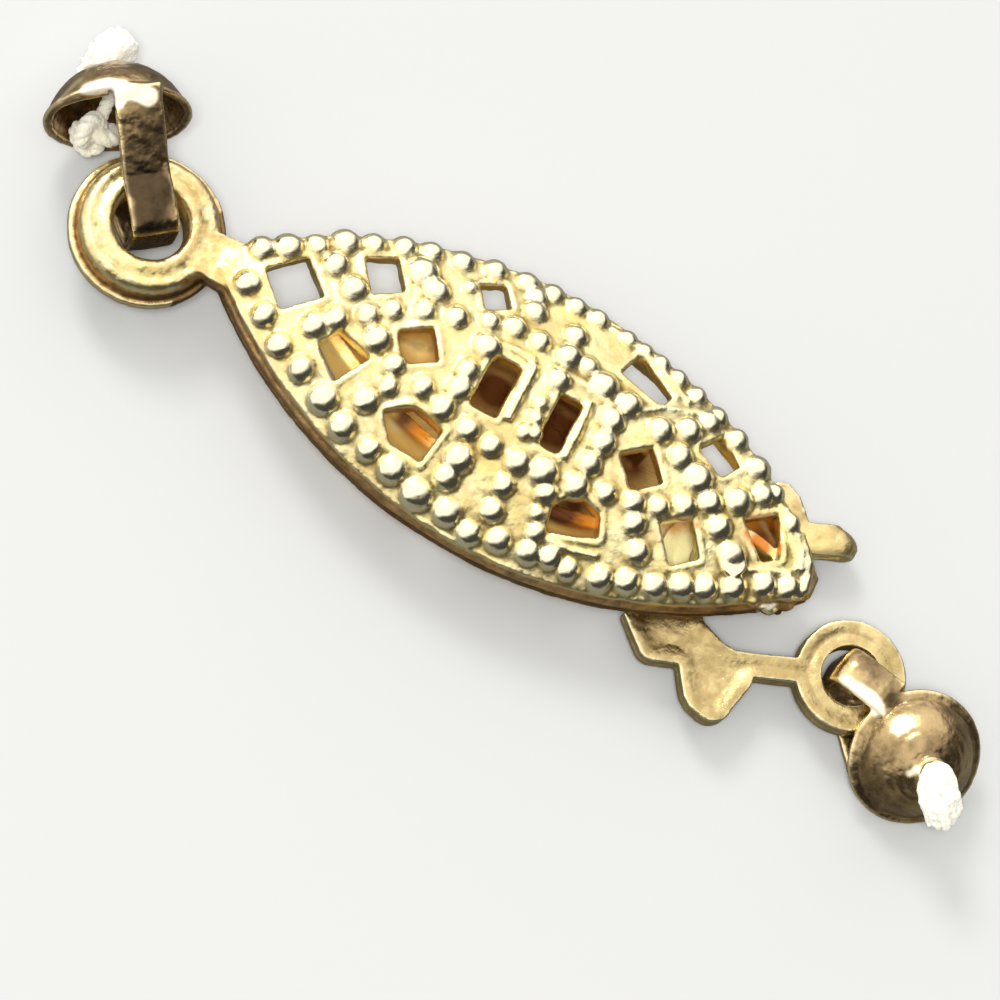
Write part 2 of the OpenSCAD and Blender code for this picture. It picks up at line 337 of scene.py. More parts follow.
def combined(tree, **parts):
    return add(tree, "ShaderNodeCombineXYZ", **parts)[0]


def chance(seed, low, high):
    return add(seed.id_data, "FunctionNodeRandomValue", {2: low, 3: high}, Seed=seed, data_type="FLOAT")[1]


def on_circle(turn, radius):
    return times(math_node("COSINE", turn), radius), times(math_node("SINE", turn), radius)


def moved(geometry, **where):
    return add(geometry.id_data, "GeometryNodeSetPosition", Geometry=geometry, **where)[0]


def instanced(points, instance, **more):
    return add(points.id_data, "GeometryNodeInstanceOnPoints", Points=points, Instance=instance, **more)[0]


def tube(curve, radius, sides, **more):
    """Gives a curve a round section with closed ends."""
    tree = curve.id_data
    section = add(tree, "GeometryNodeCurvePrimitiveCircle", Resolution=sides, Radius=radius)[0]
    return add(tree, "GeometryNodeCurveToMesh", Curve=curve, Profile_Curve=section, Fill_Caps=True, **more)[0]


def even_path(tree, given, **corner):
    """A path of loose edges as a curve in even steps, with its corners rounded if asked."""
    path = add(tree, "GeometryNodeMeshToCurve", Mesh=given["Geometry"])[0]
    if corner:
        rounding = dict(Limit_Radius=True, Count=4, mode="POLY", **corner)
        path = add(tree, "GeometryNodeFilletCurve", Curve=path, **rounding)[0]
    return add(tree, "GeometryNodeResampleCurve", Curve=path, Length=given["Step"], mode="LENGTH")[0]


def grown(name, source, tree, material, **sizes):
    """Runs a geometry tree on a source mesh and keeps what it makes as a plain mesh."""
    mod = source.modifiers.new(name, "NODES")
    mod.node_group = tree
    values = {**sizes, "Material": material}
    for item in tree.interface.items_tree:
        if item.in_out == "INPUT" and item.name in values:
            mod[item.identifier] = values[item.name]
    source.data.materials.clear()
    settled(source)
    source.name = name
    print(name, "grew", len(source.data.polygons), "faces")
    return source


# %% [markdown]
# ## An uneven skin
# Nothing this small is cast or stamped perfectly. One tree moves every vertex a few hundredths of a
# millimetre in or out along its normal, by a soft noise; each piece gives its own amount and grain.

# %% The tree that makes a skin uneven
skin_tree, given, out = geometry_tree("uneven skin", Amount=0.03, Grain=1.6)
push = times(minus(noise(position(skin_tree), given["Grain"], 3.0), 0.5), given["Amount"])
push = vector_node("SCALE", add(skin_tree, "GeometryNodeInputNormal")[0], push)
end_tree(moved(given["Geometry"], Offset=push), given, out)


def uneven(obj, material, *layers):
    for amount, grain in layers:
        grown(obj.name, obj, skin_tree, material, Amount=amount, Grain=grain)


# %% [markdown]
# ## Floor and light
# A plain pale floor and soft light. The surroundings are bright towards the upper left of the
# picture and dim towards the lower right, so every bead has a white side and a dark crescent. One
# lamp on the bright side adds the glints and the shadows. A second one shines past the lens into
# the openings, and metal does not mirror it. In metal the floor mirrors darker than it looks.

# %% Shader helpers
def start_material(name):
    mat = bpy.data.materials.new(name)
    mat.use_nodes = True
    return mat, mat.node_tree


def finish_material(mat, **values):
    feed(mat.node_tree, mat.node_tree.nodes["Principled BSDF"].inputs, values)
    print(mat.name, "has", len(mat.node_tree.nodes), "nodes")


def blended(mask, first, second):
    """The first colour where the mask is black, the second where it is white."""
    first, second = (c if is_socket(c) else (*c, 1) for c in (first, second))
    return add(mask.id_data, "ShaderNodeMix", {0: mask, 6: first, 7: second}, data_type="RGBA")[2]


# %% Floor, lamps and surroundings
FLOOR, FLOOR_Z = 0.8, -2e-5
BRIGHT_SIDE = (-0.66, 0.36, 0.66)
pale, tree = start_material("pale floor")
mirrored = add(tree, "ShaderNodeLightPath")["Is Glossy Ray"]
finish_material(pale, Base_Color=blended(mirrored, (0.45, 0.455, 0.45), (0.13, 0.13, 0.12)), Roughness=0.8)

square = [(x * FLOOR, y * FLOOR, FLOOR_Z) for x, y in ((-1, -1), (1, -1), (1, 1), (-1, 1))]
floor = from_lists("floor", square, [(0, 1, 2, 3)])
floor.data.materials.append(pale)


def lamp(name, towards, distance, size, power, glints):
    data = bpy.data.lights.new(name, "AREA")
    data.size = size
    data.energy = power
    obj = place(name, data)
    obj.location = towards.normalized() * distance
    obj.rotation_mode = "QUATERNION"
    obj.rotation_quaternion = towards.to_track_quat("Z", "Y")
    obj.visible_glossy = glints


lamp("key", Vector((-0.62, 0.5, 0.75)), distance=0.45, size=0.13, power=1.0, glints=True)
lamp("front", BACK, distance=0.5, size=0.1, power=1.9, glints=False)

world = bpy.data.worlds.new("surroundings")
world.use_nodes = True
sky = world.node_tree
towards = add(sky, "ShaderNodeTexCoord")["Generated"]
side = add(sky, "ShaderNodeVectorMath", {0: towards, 1: BRIGHT_SIDE}, operation="DOT_PRODUCT")["Value"]
glow = ramp(side, 0.0, 0.42, 0.05, 1.3, "SMOOTHSTEP")
feed(sky, sky.nodes["Background"].inputs, {"Strength": glow, "Color": (1.0, 0.985, 0.95, 1)})
bpy.context.scene.world = world
bpy.context.scene.view_settings.view_transform = "Standard"

# %% [markdown]
# ## Shared finishes
# Four effects are used by more than one metal, so each is a group with named sockets. They work on
# the object's own coordinates, turned into millimetres first, or on what its vertices note.
# *Mottle* is the uneven colour of old plating. *Scratches* are fine lines drawn by a stretched
# noise. *Hollow shade, residue and rub* darkens hollows with brown dirt and painted shade, and
# brightens edges as rubbed metal. *Painted light and shade* turns metal pale as painted light,
# red as painted reflection of gold in gold, and dark brown as painted shade, at noted places.

# %% Effect: mottle
def millimetres(tree):
    return vector_node("SCALE", add(tree, "ShaderNodeTexCoord")["Object"], 1000.0)


def read(tree, name):
    return add(tree, "ShaderNodeAttribute", attribute_name=name)["Fac"]


mottle, given, out = new_tree("Shader", "mottle", ["Mask"], Size=1.0, Contrast=0.5, Offset=0.0)
spot = vector_node("ADD", millimetres(mottle), given["Offset"])
patch = noise(spot, given["Size"], 6.0, 0.62, Distortion=0.4)
low, high = (math_node(way, 0.5, times(given["Contrast"], 0.5)) for way in ("SUBTRACT", "ADD"))
mottle.links.new(ramp(patch, low, high, kind="SMOOTHSTEP"), out["Mask"])

# %% Effect: scratches
scratches, given, out = new_tree("Shader", "scratches", ["Mask"], Turn=0.4, Fineness=9.0, Amount=0.5)
spot, spun = millimetres(scratches), combined(scratches, Z=given["Turn"])
stretched = add(scratches, "ShaderNodeMapping", Vector=spot, Rotation=spun, Scale=(0.12, 1.0, 0.5))[0]
line = noise(stretched, given["Fineness"], 3.0)
thin = ramp(math_node("ABSOLUTE", minus(line, 0.5)), 0.0, 0.018, 1.0, 0.0)
here = ramp(noise(spot, 0.9), 0.42, 0.6)
scratches.links.new(times(times(thin, here), given["Amount"]), out["Mask"])

# %% Effect: dirt and painted shade in hollows, rub on edges
residue, given, out = new_tree(
    "Shader", "hollow shade, residue and rub", ["Residue", "Rubbed"], Hollow=0.0, Dirt=0.5, Rub=0.5, Unevenness=0.9
)
patchy = times(minus(noise(millimetres(residue), 2.6, 5.0, 0.6), 0.5), given["Unevenness"])
# Hollows are darkened: brown residue and painted shade.
dip = ramp(plus(given["Hollow"], patchy), 0.22, 0.8)
bulge = ramp(minus(patchy, given["Hollow"]), 0.25, 0.95)
feed(residue, out, {"Residue": times(dip, given["Dirt"]), "Rubbed": times(bulge, given["Rub"])})

# %% Effect: painted light, reflection and shade where the openings show metal
# Pale is painted light, red is painted reflection, and the dark brown is painted shade.
PAINTED_LIGHT_TINTS = {"pale": (1.0, 0.93, 0.46), "red_reflection": (0.56, 0.19, 0.015), "shade_brown": (0.10, 0.032, 0.008)}
painted_tint, given, out = new_tree("Shader", "painted light and shade", ["Color"], Color=None)
tint = given["Color"]
for noted, colour in PAINTED_LIGHT_TINTS.items():
    tint = blended(read(painted_tint, noted), tint, colour)
painted_tint.links.new(tint, out["Color"])


# %% Using the effects in a material
def effect(tree, group, **inputs):
    return add(tree, "ShaderNodeGroup", node_tree=group, **inputs)


def mottled(tree, size, contrast, offset=0.0):
    return effect(tree, mottle, Size=size, Contrast=contrast, Offset=offset)["Mask"]


def scratched(tree, turn, fineness, amount):
    return effect(tree, scratches, Turn=turn, Fineness=fineness, Amount=amount)["Mask"]


def dirt_and_rub(tree, dirt, rub, **more):
    return effect(tree, residue, Hollow=read(tree, "hollow"), Dirt=dirt, Rub=rub, **more).values()


def between(mask, first, second):
    return ramp(mask, 0.0, 1.0, first, second)


def layered(colour, *tints):
    """Lays one (mask, colour) after another over the first colour."""
    for mask, tint in tints:
        colour = blended(mask, colour, tint)
    return colour


def bumped(height, distance):
    return add(height.id_data, "ShaderNodeBump", Height=height, Distance=distance, Strength=1.0)[0]


# %% [markdown]
# ## The bright gilt of the plate
# The plate is polished, pale gold plating over a casting. The tops of the beads are rubbed almost
# white; the ground between them is yellower and a little duller, with brown stains here and there.
# The wall round the plate is painted tan above, as reflection, and dark brown below, as shade. The
# height over the dome, noted on each vertex, tells these zones apart.

# %% Material: bright gilt
bright_gilt, tree = start_material("bright gilt")
height, warm_reflection, knob_highlight = read(tree, "relief_and_shade"), read(tree, "warm_reflection"), read(tree, "knob_highlight")
dirt, rubbed = dirt_and_rub(tree, 0.8, 0.6, Unevenness=0.5)
patches, stains = mottled(tree, 0.7, 0.5), mottled(tree, 1.3, 0.22, 11.0)
specks, worn = mottled(tree, 5.0, 0.35, 7.0), mottled(tree, 2.6, 0.3, 4.0)
bead, upper_wall_reflection, low_wall_shade = ramp(height, 0.05, 0.15), ramp(height, -0.04, -0.12), ramp(height, -0.32, -0.5)
gold = layered(
    blended(patches, (1.0, 0.94, 0.60), (1.0, 0.85, 0.33)),
    (times(stains, 0.55), (0.70, 0.47, 0.15)),
    # Brown stains laid on the eye's side away from the light: stains and painted shade.
    (times(worn, times(read(tree, "stains_and_shade"), 0.9)), (0.62, 0.40, 0.15)),
    (bead, (1.0, 0.94, 0.68)),
    (times(specks, 0.25), (0.84, 0.62, 0.24)),
    (rubbed, (1.0, 0.92, 0.66)),
    # The wall is painted tan and brown above as reflection and dark brown below as shade.
    (times(upper_wall_reflection, between(patches, 0.7, 0.95)), blended(worn, (0.86, 0.50, 0.20), (0.36, 0.19, 0.07))),
    (times(low_wall_shade, 0.85), (0.20, 0.12, 0.05)),
    # Hollows darkened with dirt and painted shade.
    (dirt, (0.17, 0.12, 0.05)),
    # A painted warm red reflection on the rib and sills.
    (warm_reflection, (0.52, 0.17, 0.02)),
    # A painted highlight on the knob at the right tip.
    (knob_highlight, (0.98, 0.93, 0.78)),
)
rough = plus(plus(between(bead, 0.3, 0.17), times(dirt, 0.3)), times(upper_wall_reflection, 0.12))
pitted = minus(times(noise(millimetres(tree), 5.0, 4.0), 0.9), times(scratched(tree, 0.7, 7.0, 0.25), 0.3))
finish_material(
    bright_gilt,
    Base_Color=gold,
    Metallic=between(math_node("MAXIMUM", warm_reflection, knob_highlight), 1.0, 0.2),
    Roughness=plus(rough, times(specks, 0.05)),
    Normal=bumped(times(pitted, between(bead, 1.0, 0.2)), 3e-5),
)

# %% [markdown]
# ## The duller metals
# The hook has been handled most: its plating is thin, tan and scratched, except where the plate
# covers it, and its tab has a painted highlight. The cups are brown with tarnish, lighter along
# their edges, and show the rings of the tool that pressed them; noted spots paint highlights and
# shade on them. The tray under the plate is protected, so it keeps an orange satin. Where it and
# the hook show through the openings, noted spots paint them pale as light, red as reflection and
# dark brown as shade.

# %% Material: worn gilt of the hook
worn_gilt, tree = start_material("worn gilt")
dirt, rubbed = dirt_and_rub(tree, 0.55, 1.0)
covered_and_tab_highlight = read(tree, "covered_and_tab_highlight")
stains = mottled(tree, 1.9, 0.2, 3.0)
lines, cross_lines = scratched(tree, 0.95, 10.0, 0.45), scratched(tree, -0.5, 6.0, 0.4)
tan_gold = layered(
    blended(mottled(tree, 0.75, 0.45), (0.90, 0.72, 0.36), (0.50, 0.38, 0.16)),
    (times(stains, 0.5), (0.42, 0.28, 0.11)),
    (rubbed, (1.0, 0.90, 0.55)),
    (times(lines, 0.5), (0.95, 0.80, 0.50)),
    (times(cross_lines, 0.5), (0.35, 0.23, 0.10)),
    # Hollows darkened with dirt and painted shade.
    (dirt, (0.17, 0.11, 0.05)),
    # Under the plate the plating is kept and takes the painted light, reflection and shade of the openings;
    # the tab gets a painted highlight.
    (covered_and_tab_highlight, effect(tree, painted_tint, Color=(1.0, 0.76, 0.30, 1))["Color"]),
)
dented = minus(noise(millimetres(tree), 1.6, 4.0, 0.55), times(plus(lines, cross_lines), 0.05))
finish_material(
    worn_gilt,
    Base_Color=tan_gold,
    Metallic=between(covered_and_tab_highlight, 1.0, 0.12),
    Specular_IOR_Level=0.2,
    Roughness=plus(between(stains, 0.27, 0.4), times(dirt, 0.2)),
    Normal=bumped(dented, 7e-5),
)

# %% Material: tarnished gilt of the cups
tarnished_gilt, tree = start_material("tarnished gilt")
dirt, rubbed = dirt_and_rub(tree, 0.75, 1.0)
patches, specks = mottled(tree, 1.1, 0.3), mottled(tree, 5.0, 0.3, 5.0)
wobble = noise(millimetres(tree), 1.5, 3.0)
ring_at = math_node("MULTIPLY_ADD", read(tree, "around"), 24.0, times(wobble, 7.0))
rings = math_node("MULTIPLY_ADD", math_node("SINE", ring_at), 0.5, 0.5)
plating_light_and_shade = read(tree, "plating_light_and_shade")
# Values over one are painted highlights, values under nought painted shade.
brown = blended(plating_light_and_shade, (0.09, 0.06, 0.035), (0.26, 0.18, 0.08))
light = blended(plating_light_and_shade, (0.36, 0.23, 0.12), (0.74, 0.55, 0.27))
painted_shade_on_cup, painted_highlight_on_cup = ramp(plating_light_and_shade, 0.0, -1.0, 0.0, 0.85), ramp(plating_light_and_shade, 1.0, 1.7, 0.0, 0.95)
bronze = layered(
    blended(patches, brown, light),
    (times(rings, 0.3), light),
    (times(specks, 0.25), (0.70, 0.50, 0.25)),
    (rubbed, (1.0, 0.80, 0.45)),
    # Hollows darkened with dirt and painted shade.
    (dirt, (0.06, 0.04, 0.025)),
    (painted_shade_on_cup, (0.05, 0.035, 0.02)),
    (painted_highlight_on_cup, (0.98, 0.90, 0.70)),
)
finish_material(
    tarnished_gilt,
    Base_Color=bronze,
    Metallic=between(painted_highlight_on_cup, 1.0, 0.25),
    Roughness=between(patches, 0.36, 0.24),
    Normal=bumped(math_node("MULTIPLY_ADD", rings, 0.2, times(wobble, 1.2)), 5e-5),
)

# %% Material: satin gilt of the tray
tray_gilt, tree = start_material("tray gilt")
dirt, _ = dirt_and_rub(tree, 0.5, 0.4)
patches = mottled(tree, 0.6, 0.5)
orange = blended(patches, (1.0, 0.72, 0.24), (0.95, 0.55, 0.13))
# Painted light, reflection and shade at the noted spots, then hollows darkened as dirt and painted shade.
orange = blended(dirt, effect(tree, painted_tint, Color=orange)["Color"], (0.25, 0.13, 0.04))
finish_material(
    tray_gilt,
    Base_Color=orange,
    Metallic=0.12,
    Specular_IOR_Level=0.2,
    Roughness=between(patches, 0.4, 0.55),
    Normal=bumped(minus(patches, scratched(tree, 0.05, 12.0, 0.8)), 1.5e-5),
)

# %% Material: cream thread
thread_mat, tree = start_material("cream thread")
soil = mottled(tree, 1.6, 0.5)
# The hollows between the strands are darkened: painted shade.
shade_between_strands, _ = dirt_and_rub(tree, 0.8, 0.0)
cream = layered(
    blended(soil, (0.93, 0.91, 0.83), (0.84, 0.79, 0.64)),
    (times(read(tree, "handled"), between(soil, 0.35, 0.9)), (0.66, 0.62, 0.46)),
    (shade_between_strands, (0.55, 0.48, 0.33)),
)
fuzz = bumped(noise(millimetres(tree), 14.0, 4.0), 4e-5)
finish_material(thread_mat, Base_Color=cream, Roughness=0.85, Sheen_Weight=0.4, Normal=fuzz)

# %% [markdown]
# ## The plate
# The plate's outline is where two large arcs cross, and its dome is the top of a barrel. Both are
# short formulas, so a grid follows them exactly: its rows run across the plate and close in on the
# tips. The same grid, made smaller, is the hollow inside.

# %% Plate: outline and dome
HALF_W, HALF_L, TIP = 3.6, 8.7, 8.45
RIM_Z, RIM_TOP, DOME = 1.4, 2.1, 0.95
PLATE_T, RIM_T = 0.45, 0.4
ROWS, COLUMNS = 150, 40
ARC_R = (HALF_L**2 + HALF_W**2) / (2 * HALF_W)
ACROSS_R = (HALF_W**2 + DOME**2) / (2 * DOME)
ALONG_R = (HALF_L**2 + DOME**2) / (2 * DOME)


def within(value, most):
    return max(-most, min(most, value))


def half_width(x, inset=0.0):
    arcs = math.sqrt(max((ARC_R - inset) ** 2 - x * x, 0)) - (ARC_R - HALF_W)
    tip = math.sqrt(max((TIP - inset) ** 2 - x * x, 0))
    return max(min(arcs, tip), 0.02)


def dome_z(x, y, inset=0.0):
    sweep = ALONG_R - ACROSS_R + math.sqrt((ACROSS_R - inset) ** 2 - y * y)
    return RIM_TOP + DOME - ALONG_R + math.sqrt(sweep * sweep - x * x)


def plate_form(name, inset, top_inset, low):
    verts, faces = [], []
    for over in (False, True):
        for i in range(ROWS + 1):
            x = -(TIP - inset) * math.cos(math.pi * i / ROWS)
            for j in range(COLUMNS + 1):
                y = half_width(x, inset) * (2 * j / COLUMNS - 1)
                verts.append((x, y, dome_z(x, y, top_inset) if over else low))
    step, top = COLUMNS + 1, (ROWS + 1) * (COLUMNS + 1)
    for i in range(ROWS):
        for j in range(COLUMNS):
            a = i * step + j
            faces.append((a, a + 1, a + step + 1, a + step))
            faces.append((top + a, top + a + step, top + a + step + 1, top + a + 1))
        for a, b in ((i * step, (i + 1) * step), ((i + 1) * step + COLUMNS, i * step + COLUMNS)):
            faces.append((a, b, top + b, top + a))
    for j in range(COLUMNS):
        for a, b in ((j + 1, j), (ROWS * step + j, ROWS * step + j + 1)):
            faces.append((a, b, top + b, top + a))
    return from_lists(name, verts, faces)


def cut(obj, tool):
    modified(obj, "BOOLEAN", operation="DIFFERENCE", solver="EXACT", object=tool)
    bpy.data.objects.remove(tool)


# %% [markdown]
# The openings are small four- and five-sided windows. Each is one row of a list: its place, its
# length, its width at both ends, how it is turned, and how far a fifth corner stands out.

# %% Plate: openings
OPENINGS = [
    (-6.60, 0.21, 1.12, 1.10, 1.10, 45, 0),
    (-4.70, 1.51, 0.86, 1.00, 0.95, 33, 0),
    (-2.00, 2.44, 0.68, 0.68, 0.68, 33, 0),
    (-4.79, -0.89, 0.98, 0.70, 1.10, -29, 0),
    (-3.18, 0.19, 0.90, 0.84, 0.90, 33, 0),
    (-2.17, -1.83, 0.87, 1.08, 0.94, -8, 0.60),
    (-1.02, 0.22, 1.50, 0.76, 0.74, 89, 0),
    (0.88, 0.16, 1.46, 0.68, 0.72, 90, 0),
    (2.40, 2.44, 1.30, 0.85, 0.42, -20, 0),
    (3.16, 0.21, 0.90, 0.96, 0.94, 43, 0),
    (4.86, 1.64, 0.88, 0.84, 0.62, -33, 0),
    (2.28, -1.83, 0.62, 1.20, 1.32, -69, 0.40),
    (4.85, -0.88, 1.08, 0.86, 0.80, -49, 0),
    (6.80, 0.36, 1.10, 0.98, 0.52, -50, 0),
]


def corners(row, grow=0.0):
    x, y, length, left, right, turn, peak = row
    half, a, b = length / 2 + grow, left / 2 + grow, right / 2 + grow
    flat = [(-half, -a), (half, -b), (half, b), (-half, a)] + ([(-half - peak, 0)] if peak else [])
    c, s = polar(1, turn)
    return [(x + p * c - q * s, y + p * s + q * c) for p, q in flat]


def prisms(name, outlines, low, high):
    verts, faces = [], []
    for outline in outlines:
        n, at = len(outline), len(verts)
        verts += [(x, y, z) for z in (low, high) for x, y in outline]
        faces.append(tuple(at + k for k in reversed(range(n))))
        faces.append(tuple(at + n + k for k in range(n)))
        faces += [(at + k, at + (k + 1) % n, at + n + (k + 1) % n, at + n + k) for k in range(n)]
    return from_lists(name, verts, faces)


plate = plate_form("plate", 0, 0, RIM_Z)
cut(plate, plate_form("hollow", RIM_T, PLATE_T, RIM_Z - 1))
cut(plate, prisms("windows", [corners(row) for row in OPENINGS], 0.5, 4))
print("plate with", len(OPENINGS), "openings:", len(plate.data.polygons), "faces")

# %% [markdown]
# ## Beads
# About 150 beads sit on the dome. No rule gives their places: they wander round the openings in
# crooked rows. So they are charted row by row, as places in the picture and a radius, in
# pixels, and each is dropped on to the dome along the line of sight. A geometry tree then puts a
# slightly flattened ball on each place.

# %% Beads: the chart
BORDER = [
    (250, 285, 12), (266, 317, 13), (281, 347, 12), (303, 371, 13), (325, 400, 15), (344, 428, 15),
    (370, 450, 13), (393, 470, 14), (417, 495, 15), (447, 513, 14), (468, 533, 13), (498, 540, 14),
    (528, 552, 13), (549, 557, 12), (567, 569, 12), (598, 578, 14), (625, 581, 14), (654, 586, 13),
    (680, 586, 13), (704, 588, 13), (732, 587, 14), (763, 585, 13), (788, 588, 12),
    (264, 250, 12), (290, 248, 13), (318, 246, 12), (347, 243, 13), (375, 244, 12), (405, 247, 13),
    (433, 250, 12), (463, 262, 13), (498, 266, 13), (530, 278, 13), (557, 288, 12), (581, 299, 11),
    (602, 312, 11), (630, 337, 10), (647, 347, 9), (663, 361, 10), (680, 377, 11), (699, 394, 11),
    (719, 416, 12), (738, 440, 12), (762, 463, 14), (777, 490, 10), (794, 519, 10),
]
INNER = [
    (316, 327, 14), (337, 320, 12), (369, 316, 12), (394, 311, 12), (425, 312, 12), (457, 318, 13),
    (490, 322, 11), (515, 328, 12), (540, 342, 13), (568, 357, 14), (588, 367, 12), (604, 386, 15),
    (628, 405, 14), (337, 266, 14), (355, 290, 13), (378, 341, 14), (423, 272, 16), (437, 292, 13),
    (470, 288, 9), (537, 297, 12), (535, 312, 12), (576, 336, 13), (487, 347, 13), (468, 372, 12),
    (460, 389, 12), (395, 366, 11), (367, 401, 14), (390, 388, 11), (424, 388, 12), (443, 409, 13),
    (468, 430, 12), (491, 446, 12), (517, 462, 13), (543, 472, 14), (575, 486, 13), (605, 493, 12),
    (632, 502, 12), (658, 507, 11), (684, 506, 12), (709, 503, 13), (738, 501, 15), (763, 495, 13),
    (459, 460, 15), (447, 478, 13), (503, 486, 13), (492, 511, 12), (558, 380, 13), (524, 433, 9),
    (534, 434, 9), (545, 493, 11), (536, 513, 9), (535, 532, 11), (611, 420, 15), (602, 443, 14),
    (589, 464, 13), (660, 430, 15), (689, 430, 13), (710, 422, 13), (680, 457, 13), (698, 478, 16),
    (633, 523, 12), (636, 552, 14), (718, 527, 14), (731, 555, 14), (540, 404, 9), (535, 419, 9),
]
EDGE = 0.2
SINK, WIDER = 0.5, 1.22


def on_dome(px, py):
    """The point of the dome that shows at a pixel, kept a little inside the plate's edge."""
    z = RIM_TOP
    for _ in range(6):
        p = in_view_at(px, py, z)
        x = within(p.x, TIP - EDGE)
        y = within(p.y / (half_width(x) - EDGE), 1) * (half_width(x) - EDGE)
        z = dome_z(x, y)
    return Vector((x, y, z))


def outward(p):
    e = 0.01
    slope_x = (dome_z(p.x - e, p.y) - dome_z(p.x + e, p.y)) / (2 * e)
    slope_y = (dome_z(p.x, p.y - e) - dome_z(p.x, p.y + e)) / (2 * e)
    return Vector((slope_x, slope_y, 1)).normalized()


# %% Beads: the tree that sets a ball on each place
bead_tree, given, out = geometry_tree("beads", Flatness=0.9, Spread=0.06, Stretch=0.08, Seed=3)
ball = add(bead_tree, "GeometryNodeMeshIcoSphere", Radius=1.0, Subdivisions=4)[0]
size, lean_to = (
    add(bead_tree, "GeometryNodeInputNamedAttribute", Name=name, data_type=kind)["Attribute"]
    for name, kind in (("size", "FLOAT"), ("out", "FLOAT_VECTOR"))
)
spread, stretch = given["Spread"], given["Stretch"]
wide = times(size, chance(given["Seed"], minus(1.0, spread), plus(1.0, spread)))
long = times(wide, chance(plus(given["Seed"], 1.0), minus(1.0, stretch), plus(1.0, stretch)))
aligned = add(bead_tree, "FunctionNodeAlignRotationToVector", Vector=lean_to, axis="Z")[0]
shape = combined(bead_tree, X=long, Y=wide, Z=times(wide, given["Flatness"]))
end_tree(instanced(given["Geometry"], ball, Rotation=aligned, Scale=shape), given, out)


def balls(name, places, radii, leans, **sizes):
    source = from_lists(name + "_places", places)
    note(source, "size", radii)
    note(source, "out", leans, "FLOAT_VECTOR")
    return grown(name, source, bead_tree, bright_gilt, **sizes)


chart = [(on_dome(px, py), r / PIXELS_PER_MM) for px, py, r in BORDER + INNER]
beads = balls(
    "beads", [p - outward(p) * (SINK * r) for p, r in chart], [WIDER * r for _, r in chart],
    [outward(p) for p, _ in chart], Flatness=1.0, Spread=0.05, Stretch=0.07, Seed=3,
)

# %% Beads: loose drops of metal on the wall of the right tip
DROPS = [(752, 601, 7), (768, 606, 10), (786, 602, 10), (797, 594, 8), (778, 611, 5)]


def on_wall(px, py):
    """The point of the wall round the plate that shows at a pixel."""
    seen = [in_view_at(px, py, z) for z in np.linspace(1.5, 2.15, 27)]
    return min(seen, key=lambda p: abs(abs(p.y) - half_width(p.x)))


KNOB = on_wall(768, 606)
drops = balls(
    "drops", [on_wall(px, py) for px, py, _ in DROPS], [r / PIXELS_PER_MM for _, _, r in DROPS],
    [(0.0, -0.6, 0.9)] * len(DROPS), Flatness=0.8, Spread=0.05, Stretch=0.15, Seed=4,
)

# %% [markdown]
# ## Raised frames and bars
# Each opening has a thin raised frame, and the right tip is closed by two plain bars. They are all
# a round wire laid along a path, so one tree serves them all: it takes loose edges, rounds their
# corners and gives them thickness.

# %% Frames: the tree that lays a wire along edges
wire_tree, given, out = geometry_tree("laid wire", Radius=0.1, Corner=0.12, Step=0.06, Unevenness=1.2)
swell = minus(noise(position(wire_tree), 1.7), 0.5)
swell = math_node("MULTIPLY_ADD", swell, given["Unevenness"], 1.0)
even = even_path(wire_tree, given, Radius=given["Corner"])
end_tree(tube(even, given["Radius"], 10, Scale=swell), given, out)


def laid(name, radius, corner, lift, paths, closed=False):
    """A wire along each path, cut into short steps that follow the dome."""
    verts, edges = [], []
    for path in paths:
        at, dense = len(verts), []
        for k in range(len(path) if closed else len(path) - 1):
            (x0, y0), (x1, y1) = path[k], path[(k + 1) % len(path)]
            parts = max(int(math.hypot(x1 - x0, y1 - y0) / 0.25), 1)
            dense += [(x0 + (x1 - x0) * i / parts, y0 + (y1 - y0) * i / parts) for i in range(parts)]
        dense += [] if closed else [path[-1]]
        verts += [(x, y, dome_z(x, y) + lift) for x, y in dense]
        edges += [(at + k, at + k + 1) for k in range(len(dense) - 1)]
        edges += [(at + len(dense) - 1, at)] if closed else []
    source = from_lists(name + "_paths", verts, edges=edges)
    return grown(name, source, wire_tree, bright_gilt, Radius=radius, Corner=corner, Step=0.06)


def seen_path(*pixels):
    return [tuple(on_dome(px, py).xy) for px, py in pixels]


def rim_path(*pixels):
    return [tuple(in_view_at(px, py, 2.2).xy) for px, py in pixels]


BARS = [
    seen_path((781, 506), (788, 530), (796, 552), (802, 572)),
    seen_path((612, 328), (640, 350), (664, 374), (690, 404)),
    seen_path((640, 412), (662, 408), (690, 412), (720, 410)),
    seen_path((551, 367), (572, 378), (594, 393), (617, 411)),
    seen_path((497, 345), (518, 352), (535, 362)),
    seen_path((746, 570), (765, 569), (790, 575)),
    seen_path((540, 535), (565, 548), (597, 556)),
]
WIDE_BARS = [
    rim_path((783, 511), (790, 524), (797, 540), (800, 556), (799, 571)),
    rim_path((801, 534), (805, 548), (807, 563), (807, 578), (802, 592)),
    seen_path((534, 366), (524, 386), (506, 420)),
    seen_path((590, 402), (577, 430), (562, 458)),
]
frames = laid("frames", 0.09, 0.14, -0.05, [corners(row, 0.11) for row in OPENINGS], closed=True)
bars = laid("bars", 0.1, 0.2, -0.01, BARS)
bars_wide = laid("bars_wide", 0.16, 0.2, -0.04, WIDE_BARS)

# %% [markdown]
# ## Eye, rim and pin
# The eye is a turned shape: one outline swung round an upright axis, with a rounded shoulder and a
# thin foot below it. The foot runs on round the plate as the rim's flange, with a groove above it.
# The pin and the rib under the plate are plain, so the measured sizes are simply drawn again.

